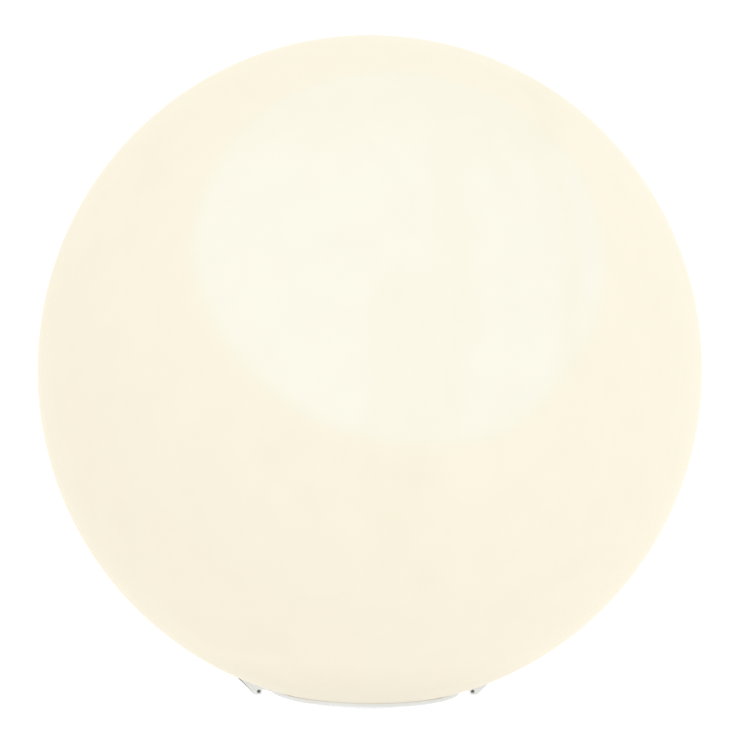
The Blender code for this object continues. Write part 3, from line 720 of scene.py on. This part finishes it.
def make_cover():
    """The dish with its lugs, the well, and the holes for button, socket, plug and screws."""
    slope = [
        (FOOT_RADIUS, 0),
        (FOOT_RADIUS + 2.5 * MM, 0.8 * MM),
        (FOOT_RADIUS + 7.5 * MM, 1.7 * MM),
        (FOOT_RADIUS + 11.5 * MM, 2.4 * MM),
        (FOOT_RADIUS + 16.5 * MM, 3.3 * MM),
        (COVER_RADIUS - 0.5 * MM, COVER_RIM_Z - 0.5 * MM),
        (COVER_RADIUS, COVER_RIM_Z),
    ]
    rim = COVER_RADIUS - 1.4 * MM
    outline = [(0, WELL_Z), (WELL_RADIUS - 0.4 * MM, WELL_Z), (WELL_RADIUS, 0.5 * MM)]
    outline += [(WELL_RADIUS + 0.5 * MM, 0)] + smooth(slope, 5)
    outline += [(COVER_RADIUS, globe_height(COVER_RADIUS) - SEAM), (rim, globe_height(rim) - SEAM)]
    outline += [(rim - 0.5 * MM, COVER_TOP_Z), (0, COVER_TOP_Z)]
    cover = turned("dish_cover", fillet(outline, 0.35 * MM, 3), 192, paint=WHITE)
    post_top = high("base_cover").z
    joined = [lug_tool("lug_left", -1), lug_tool("lug_right", 1)]
    joined += [bar(f"post_{side}", 2 * MM, 5 * MM, post_top, (0, side * 7 * MM)) for side in (-1, 1)]
    combine(cover, joined, "UNION")
    start, end = WELL_Z - GAP, 7 * MM
    cuts = [
        bar("button_hole", BUTTON_RADIUS + GAP, start, end, (BUTTON_X, 0), 64, GAP),
        bar("jack_hole", 3.4 * MM, start, end, (JACK_X, 0), 48, GAP),
        bar("anchor_hole", 1.2 * MM, start, end, (ANCHOR_X, 0), 32, 0.1 * MM),
        tether_tool("tether_left", -1),
        tether_tool("tether_right", 1),
    ]
    for number, place in enumerate(screw_places(), 1):
        cuts.append(bar(f"screw_hole_{number}", 1.6 * MM, MM, end, place, 32))
        cuts.append(bar(f"counterbore_{number}", 3.4 * MM, -MM, 3.4 * MM, place))
    combine(cover, cuts)
    stands_for(cover, "base_cover")
    make_seal("cover_seal", "lower_seal", 128)


def recess_tool(name, at, turn, mouth, floor):
    """Tool for one arm of a cross, which narrows from its mouth to its floor."""
    shape = bmesh.new()
    rings = []
    for z, half_x, half_y in (mouth, floor):
        corners = ((-1, -1), (1, -1), (1, 1), (-1, 1))
        rings.append([shape.verts.new((x * half_x, y * half_y, z)) for x, y in corners])
    shape.faces.new(rings[0])
    shape.faces.new(rings[1])
    for side in range(4):
        after = (side + 1) % 4
        shape.faces.new((rings[0][side], rings[0][after], rings[1][after], rings[1][side]))
    bmesh.ops.rotate(shape, verts=shape.verts, matrix=Matrix.Rotation(turn, 3, "Z"))
    bmesh.ops.translate(shape, verts=shape.verts, vec=(*at, 0))
    return add_piece(name, mesh_from(name, shape))


def cross_cut(piece, at, turn, mouth, floor):
    """Cuts a cross into a screw's head or a can's lid."""
    turns = (turn, turn + math.pi / 2)
    combine(piece, [recess_tool(f"arm_{angle:.2f}", at, angle, mouth, floor) for angle in turns])


def make_cover_screws():
    """Screws with domed heads, cross recesses and ridged shanks."""
    threads = 12
    for number, place in enumerate(screw_places(), 1):
        node = f"cover_screw_{number}"
        tip = high(node).z
        pitch = (tip - 6 * MM) / threads
        outline = [(0, 2.2), (1.4, 2.23), (2.4, 2.4), (2.9, 2.65), (2.9, 3.1), (1.3, 3.1), (1.3, 4.5)]
        outline = [(radius * MM, z * MM) for radius, z in outline]
        for turn in range(threads):
            z = 4.8 * MM + pitch * turn
            outline += [(1.0 * MM, z), (1.3 * MM, z + pitch / 2)]
        outline += [(0.8 * MM, tip - 0.6 * MM), (0, tip)]
        screw = turned(f"screw_{number}", fillet(outline, 0.15 * MM, 2), 40, (*place, 0), STEEL)
        mouth, floor = (1.8 * MM, 1.7 * MM, 0.36 * MM), (3.3 * MM, 0.5 * MM, 0.26 * MM)
        cross_cut(screw, place, 0.4 + 1.9 * number, mouth, floor)
        stands_for(screw, node)


# ---------------------------------------------------------------- base housing and ballast


def make_housing():
    """The threaded cup, with ledges inside for the boards and bosses for the cover screws."""
    bottom, top = low("base_housing").z, high("base_housing").z
    outline = [(CUP_BORE, bottom), (CUP_RADIUS, bottom), (CUP_RADIUS, top), (CUP_BORE, top)]
    for ledge in LEDGE_HEIGHTS:
        outline += [(CUP_BORE, ledge), (LEDGE_RADIUS, ledge), (CUP_BORE, ledge - LEDGE_DROP)]
    cup = turned("threaded_cup", fillet(outline, 0.35 * MM, 3), 144, paint=WHITE)
    joined = [ridges("male", MALE_CREST, CUP_RADIUS - 0.6 * MM, MALE_BOTTOM_Z, MALE_SWEEP, 40)]
    joined += [bar(f"boss_{n}", BOSS_RADIUS, bottom, BOSS_TOP_Z, at) for n, at in enumerate(screw_places())]
    combine(cup, joined, "UNION")
    places = enumerate(screw_places())
    combine(cup, [bar(f"bore_{number}", 1.7 * MM, 6 * MM, 17 * MM, at, 32) for number, at in places])
    stands_for(cup, "base_housing")


def make_ballast():
    """The chamfered steel ring low in the cup, notched round the bosses."""
    bottom, top, outer = low("ballast_ring").z, high("ballast_ring").z, CUP_BORE - 0.9 * MM
    inner, chamfer = 19.6 * MM, 0.6 * MM
    outline = [
        (inner + chamfer, bottom),
        (outer - chamfer, bottom),
        (outer, bottom + chamfer),
        (outer, top - chamfer),
        (outer - chamfer, top),
        (inner + chamfer, top),
        (inner, top - chamfer),
        (inner, bottom + chamfer),
    ]
    ring = turned("ballast", outline, 126, paint=BALLAST)
    notch = BOSS_RADIUS + 0.6 * MM
    combine(ring, [bar(f"notch_{n}", notch, 0, 20 * MM, at) for n, at in enumerate(screw_places())])
    stands_for(ring, "ballast_ring")


# ---------------------------------------------------------------- button and charging plug


def make_button():
    """A soft push button with a raised rim round a dimple, and a skirt behind the cover."""
    face, back, radius = low("power_button").z, high("power_button").z, BUTTON_RADIUS
    shelf = COVER_TOP_Z + GAP
    dome = [(0, face + 0.75 * MM), (1.6 * MM, face + 0.6 * MM), (2.6 * MM, face + 0.35 * MM)]
    dome += [(3.4 * MM, face + 0.25 * MM), (4.2 * MM, face + 0.3 * MM), (5.2 * MM, face)]
    outline = smooth(dome, 4) + [(5.7 * MM, face + 0.15 * MM), (radius, face + 0.6 * MM), (radius, shelf)]
    skirt_radius, skirt_top = radius + 1.4 * MM, shelf + 0.9 * MM
    outline += [(skirt_radius, shelf), (skirt_radius, skirt_top), (2 * MM, skirt_top)]
    outline += [(2 * MM, back), (0, back)]
    button = turned("push_button", fillet(outline, 0.25 * MM, 3), 80, (BUTTON_X, 0, 0), GREY_SILICONE)
    stands_for(button, "power_button")


def make_plug():
    """The silicone cap of the charging socket, with its strap, and the stud that holds the strap."""
    face, tip = low("charge_plug").z, high("charge_plug").z
    under = 3.3 * MM
    outline = [(0, face + 0.35 * MM), (2.2 * MM, face + 0.2 * MM), (3.6 * MM, face), (4.8 * MM, face)]
    outline += [(5.6 * MM, face + 0.6 * MM), (5.6 * MM, under)]
    outline += [(2.5 * MM, under), (2.5 * MM, under + 0.6 * MM)]
    outline += [(2.3 * MM, under + 0.8 * MM), (2.5 * MM, under + 1.0 * MM), (2.4 * MM, tip - 0.4 * MM)]
    outline += [(1.9 * MM, tip), (0, tip)]
    plug = turned("charging_plug", fillet(outline, 0.3 * MM, 3), 80, (JACK_X, 0, 0), GREY_SILICONE)
    reach = JACK_X - 4 * MM - HINGE_X
    size, centre = (reach, 4 * MM, 0.9 * MM), (HINGE_X + reach / 2, 0, HINGE_Z)
    combine(plug, [rounded_box("strap", size, centre, 0.25 * MM)], "UNION")
    across = [(0, -3 * MM), (0.3 * MM, -3 * MM), (0.3 * MM, 3 * MM), (0, 3 * MM)]
    groove_at = (HINGE_X + 1.1 * MM, 0, HINGE_Z - 0.5 * MM)
    combine(plug, [turned("groove", across, 24, groove_at, axis="Y")])
    stands_for(plug, "charge_plug")
    bottom, top = low("plug_anchor").z, high("plug_anchor").z
    neck, shelf = WELL_Z - GAP, COVER_TOP_Z + GAP
    outline = [(0, bottom), (1.4 * MM, bottom + 0.05 * MM), (2.1 * MM, bottom + 0.5 * MM), (2.1 * MM, neck)]
    outline += [(0.9 * MM, neck), (0.9 * MM, shelf), (1.6 * MM, shelf)]
    outline += [(1.2 * MM, top - 0.2 * MM), (0, top)]
    stud = turned("strap_stud", fillet(outline, 0.15 * MM, 3), 40, (ANCHOR_X, 0, 0), GREY_SILICONE)
    stands_for(stud, "plug_anchor")


# ---------------------------------------------------------------- battery and light


def make_cells():
    """Two cells in shrink film, drawn in over their ends, with the button of the positive end."""
    for number in (1, 2):
        node = f"battery_cell_{number}"
        at = middle(node)
        half, radius = high(node).x, (high(node).z - low(node).z) / 2
        tucked = radius - 0.8 * MM
        outline = [(0, 0.25 * MM - half), (tucked - MM, 0.25 * MM - half), (tucked - 0.6 * MM, -half)]
        outline += [(tucked, -half), (radius, 0.8 * MM - half), (radius, half - 1.8 * MM)]
        outline += [(radius - 0.5 * MM, half - MM), (radius - 2.2 * MM, half - MM)]
        outline.append((radius - 2.4 * MM, half - 1.2 * MM))
        outline += [(3.2 * MM, half - 1.2 * MM), (3.0 * MM, half - 0.3 * MM), (2.7 * MM, half), (0, half)]
        cell = turned(f"cell_{number}", fillet(outline, 0.2 * MM, 3), 96, (0, at.y, at.z), WRAP, "X")
        stands_for(cell, node)


def make_capacitors():
    """Two metal cans, drawn in above their seal and scored across the top."""
    for number in (1, 2):
        node = f"filter_capacitor_{number}"
        at, bottom, top = middle(node), low(node).z, high(node).z
        radius, lid = high(node).x - at.x, top - 0.1 * MM
        outline = [(0, bottom), (radius, bottom), (radius, bottom + 0.9 * MM)]
        outline += [(radius - 0.3 * MM, bottom + 1.15 * MM), (radius, bottom + 1.4 * MM), (radius, top)]
        outline += [(radius - 0.6 * MM, lid), (0, lid)]
        can = turned(f"can_{number}", fillet(outline, 0.2 * MM, 3), 48, (at.x, at.y, 0), STEEL)
        mouth, floor = (top + 0.1 * MM, 1.5 * MM, 0.09 * MM), (top - 0.25 * MM, 1.5 * MM, 0.05 * MM)
        cross_cut(can, (at.x, at.y), 0.8, mouth, floor)
        stands_for(can, node)


def make_inductor():
    """A ferrite drum, with enamelled wire wound between its flanges."""
    node = "power_inductor"
    at, bottom, top = middle(node), low(node).z, high(node).z
    radius, flange, core = high(node).x - at.x, 0.7 * MM, 2.6 * MM
    outline = [(0, bottom), (radius, bottom), (radius, bottom + flange), (core, bottom + flange)]
    outline += [(core, top - flange), (radius, top - flange), (radius, top), (0, top)]
    drum = turned("ferrite_drum", fillet(outline, 0.15 * MM, 3), 64, (at.x, at.y, 0), BLACK)
    stands_for(drum, node)
    rounds, room = 6, 0.05 * MM
    lowest, highest = bottom + flange + room, top - flange - room
    pitch = (highest - lowest) / rounds
    wire = [(core + room, lowest)]
    for turn in range(rounds):
        z = lowest + pitch * turn
        wire += [(radius - 0.5 * MM, z + 0.03 * MM), (radius - 0.25 * MM, z + pitch / 2)]
        wire.append((radius - 0.5 * MM, z + pitch - 0.03 * MM))
    wire.append((core + room, highest))
    rides_with(turned("winding", wire, 64, (at.x, at.y, 0), COPPER), node)


def make_chip():
    """A moulded chip with a dot for its first lead, and leads along all four sides."""
    node = "controller_chip"
    at, size, top = middle(node), high(node) - low(node), high(node).z
    body = rounded_box("chip_body", (size.x - MM, size.y - MM, size.z - 0.1 * MM), at, 0.15 * MM, BLACK)
    dot_at = (at.x - 2.2 * MM, at.y + 2.2 * MM, 0)
    dot = [(0, top - 0.15 * MM), (0.35 * MM, top - 0.15 * MM), (0.4 * MM, top + MM), (0, top + MM)]
    combine(body, [turned("dot", dot, 32, dot_at)])
    stands_for(body, node)
    shape = bmesh.new()
    stand = Matrix.Translation((at.x, at.y, low(node).z + 0.15 * MM))
    lead = Matrix.Diagonal((0.5 * MM, 0.3 * MM, 0.2 * MM, 1))
    for side in range(4):
        turn = Matrix.Rotation(math.tau * side / 4, 4, "Z")
        for place in range(-3, 4):
            along = Matrix.Translation((size.x / 2 - 0.26 * MM, place * 0.8 * MM, 0))
            bmesh.ops.create_cube(shape, size=1.0, matrix=stand @ turn @ along @ lead)
    rides_with(add_piece("chip_leads", mesh_from("chip_leads", shape), NICKEL), node)


def make_socket():
    """The white socket for the leads, with two deep slots."""
    node = "board_connector"
    socket = rounded_box("lead_socket", tuple(high(node) - low(node)), middle(node), 0.2 * MM, SOCKET)
    tools = []
    for side in (-1, 1):
        at = middle(node) + Vector((side * 1.9 * MM, 0, 1.2 * MM))
        tools.append(rounded_box("slot", (2.6 * MM, 2.4 * MM, 3 * MM), at, 0.1 * MM))
    combine(socket, tools)
    stands_for(socket, node)


def make_light():
    """Emitters, their screws, the frosted dome and its seal."""
    count = 8
    for number in range(1, count + 1):
        node = f"led_{number}"
        at, height = middle(node), high(node).z - low(node).z
        turn = math.tau * (number - 1) / count
        size = (4.98 * MM, 4.98 * MM, height)
        case = rounded_box(f"emitter_{number}", size, at, 0.25 * MM, CERAMIC, turn)
        rim = height / 2 - 0.35 * MM
        mouth = [(0, rim), (1.75 * MM, rim), (2.05 * MM, height), (0, height)]
        combine(case, [turned("cup", mouth, 48, at)])
        stands_for(case, node)
        lens = [(0, rim - 0.15 * MM), (1.7 * MM, rim - 0.15 * MM)]
        lens += [(1.85 * MM, rim + 0.22 * MM), (0, rim + 0.3 * MM)]
        rides_with(turned(f"phosphor_{number}", lens, 48, at, PHOSPHOR), node)
    for number in (1, 2, 3):
        node = f"led_screw_{number}"
        at, bottom, top = middle(node), low(node).z, high(node).z
        seat = top - 1.6 * MM
        outline = [(0, bottom), (1.0 * MM, bottom), (1.1 * MM, bottom + 0.2 * MM), (1.1 * MM, seat)]
        outline += [(2.2 * MM, seat), (2.15 * MM, seat + 0.6 * MM), (1.6 * MM, top - 0.25 * MM), (0, top)]
        screw = turned(f"board_screw_{number}", fillet(outline, 0.15 * MM, 2), 40, (at.x, at.y, 0), STEEL)
        mouth, floor = (top + 0.5 * MM, 1.3 * MM, 0.3 * MM), (top - 1.1 * MM, 0.4 * MM, 0.2 * MM)
        cross_cut(screw, (at.x, at.y), 0.3 + 1.3 * number, mouth, floor)
        stands_for(screw, node)
    make_dome()
    make_seal("dome_seal", "upper_seal", 128)


def make_dome():
    """The frosted dome over the emitters, with a flange that the seal lies under."""
    foot, top, edge = low("lens_dome").z, high("lens_dome").z, high("lens_dome").x
    radius, wall = 30 * MM, 2 * MM
    flange, rise, rows = foot + 1.8 * MM, top - foot - 1.8 * MM, 24

    def arc(inset):
        turns = [math.pi / 2 * row / rows for row in range(rows)]
        points = [((radius - inset) * math.cos(t), flange + (rise - inset) * math.sin(t)) for t in turns]
        return points + [(0, flange + rise - inset)]

    outline = [(radius - wall, foot), (edge, foot), (edge, flange)] + arc(0.0) + arc(wall)[::-1]
    dome = turned("frosted_dome", fillet(outline, 0.4 * MM), 144, paint=FROSTED)
    stands_for(dome, "lens_dome")


make_globe()
make_neck()
make_cover()
make_cover_screws()
make_housing()
make_ballast()
make_button()
make_plug()
make_cells()
make_capacitors()
make_inductor()
make_chip()
make_socket()
make_light()

for name, kept in frame["nodes"].items():
    if SLOT_OF[name] in PAINT_OF_SLOT:
        kept.data.materials.clear()
        kept.data.materials.append(PAINT_OF_SLOT[SLOT_OF[name]])

# ---------------------------------------------------------------- floor, light and camera


def make_floor():
    """A wide, almost white floor, a hair below the foot."""
    half, below = 30.0, -0.2 * MM
    corners = [(-half, -half, below), (half, -half, below), (half, half, below), (-half, half, below)]
    mesh = bpy.data.meshes.new("floor")
    mesh.from_pydata(corners, [], [(0, 1, 2, 3)])
    paint = Paint("pale_floor")
    paint.fix(Base_Color=(0.3, 0.3, 0.3, 1), Roughness=0.9, Specular_IOR_Level=0.0)
    paint.fix(Emission_Color=(1, 1, 1, 1), Emission_Strength=0.9)
    add_piece("floor", mesh, paint.material)


def make_world():
    """A white backdrop, which lights the scene a little less than it shows."""
    world = bpy.data.worlds.new("studio")
    bpy.context.scene.world = world
    world.use_nodes = True
    tree = world.node_tree
    sight = tree.nodes.new("ShaderNodeLightPath")
    strength = tree.nodes.new("ShaderNodeMapRange")
    strength.inputs["To Min"].default_value = 0.75
    strength.inputs["To Max"].default_value = 1.02
    background = tree.nodes["Background"]
    background.inputs["Color"].default_value = (1, 1, 1, 1)
    tree.links.new(sight.outputs["Is Camera Ray"], strength.inputs["Value"])
    tree.links.new(strength.outputs["Result"], background.inputs["Strength"])


def make_softbox(name, width, power, place):
    """A square softbox that faces the globe."""
    lamp = bpy.data.lights.new(name, "AREA")
    lamp.size = width
    lamp.energy = power
    box = bpy.data.objects.new(name, lamp)
    box.location = place
    box.rotation_euler = (GLOBE_CENTRE - Vector(place)).to_track_quat("-Z", "Y").to_euler()
    bpy.context.collection.objects.link(box)


def make_camera():
    """The camera in front, whose lens makes the globe as wide in the image as it should be."""
    data = bpy.data.cameras.new("camera")
    camera = bpy.data.objects.new("camera", data)
    bpy.context.collection.objects.link(camera)
    half_angle = math.asin((GLOBE_RADIUS + GLOBE_HALF_HEIGHT) / 2 / CAMERA_DISTANCE)
    data.sensor_width = SENSOR_WIDTH
    data.lens = GLOBE_SHARE / 2 * SENSOR_WIDTH / math.tan(half_angle)
    data.shift_x, data.shift_y = CAMERA_SHIFT
    away = Vector((0, -math.cos(CAMERA_ELEVATION), math.sin(CAMERA_ELEVATION)))
    away.rotate(Matrix.Rotation(CAMERA_TURN, 3, "Z"))
    aim = (-away).to_track_quat("-Z", "Y") @ Matrix.Rotation(CAMERA_ROLL, 3, "Z").to_quaternion()
    camera.location = GLOBE_CENTRE + away * CAMERA_DISTANCE
    camera.rotation_euler = aim.to_euler()
    bpy.context.scene.camera = camera


make_floor()
make_world()
make_softbox("key", 1.2, 6.0, (1.2, -1.6, 1.5))
make_softbox("fill", 1.4, 4.0, (-1.6, -1.2, 1.0))
make_camera()
bpy.context.scene.view_settings.view_transform = "Standard"
